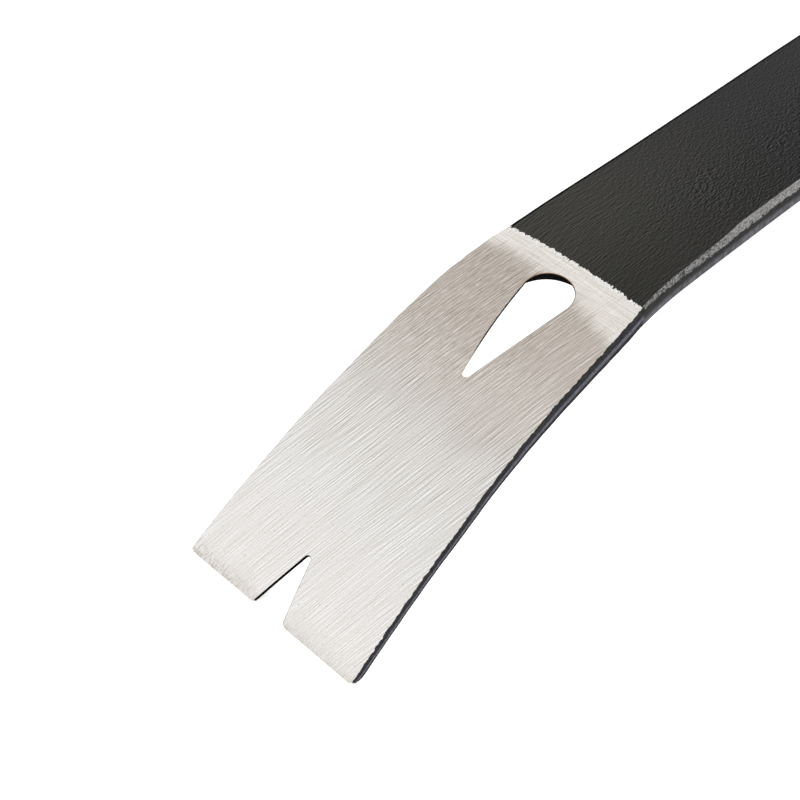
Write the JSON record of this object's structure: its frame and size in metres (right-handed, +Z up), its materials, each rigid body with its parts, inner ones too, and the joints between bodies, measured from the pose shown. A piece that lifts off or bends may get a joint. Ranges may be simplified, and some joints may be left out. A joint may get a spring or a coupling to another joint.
{
  "type": "pry bar",
  "caption": "Flat forged pry bar: a bent blade with a countersunk teardrop nail slot and V notch, a black-coated body, and a hooked claw with a V notch.",
  "frame": {"origin": "centre of the footprint at ground level, with the bar resting on its blade tip and on the heel of its hook", "axes": "+X along the bar from the blade tip to the hook, +Y across it, +Z up"},
  "size_m": [0.381, 0.045, 0.049],
  "materials": {
    "bare_steel": "ground bright, with long fine scratches along the blade",
    "black_paint": "satin black over forged texture, worn grey along the top edges"
  },
  "bodies": {
    "root": {"forged_bar": "bare_steel", "black_coating": "black_paint"}
  },
  "joints": []
}
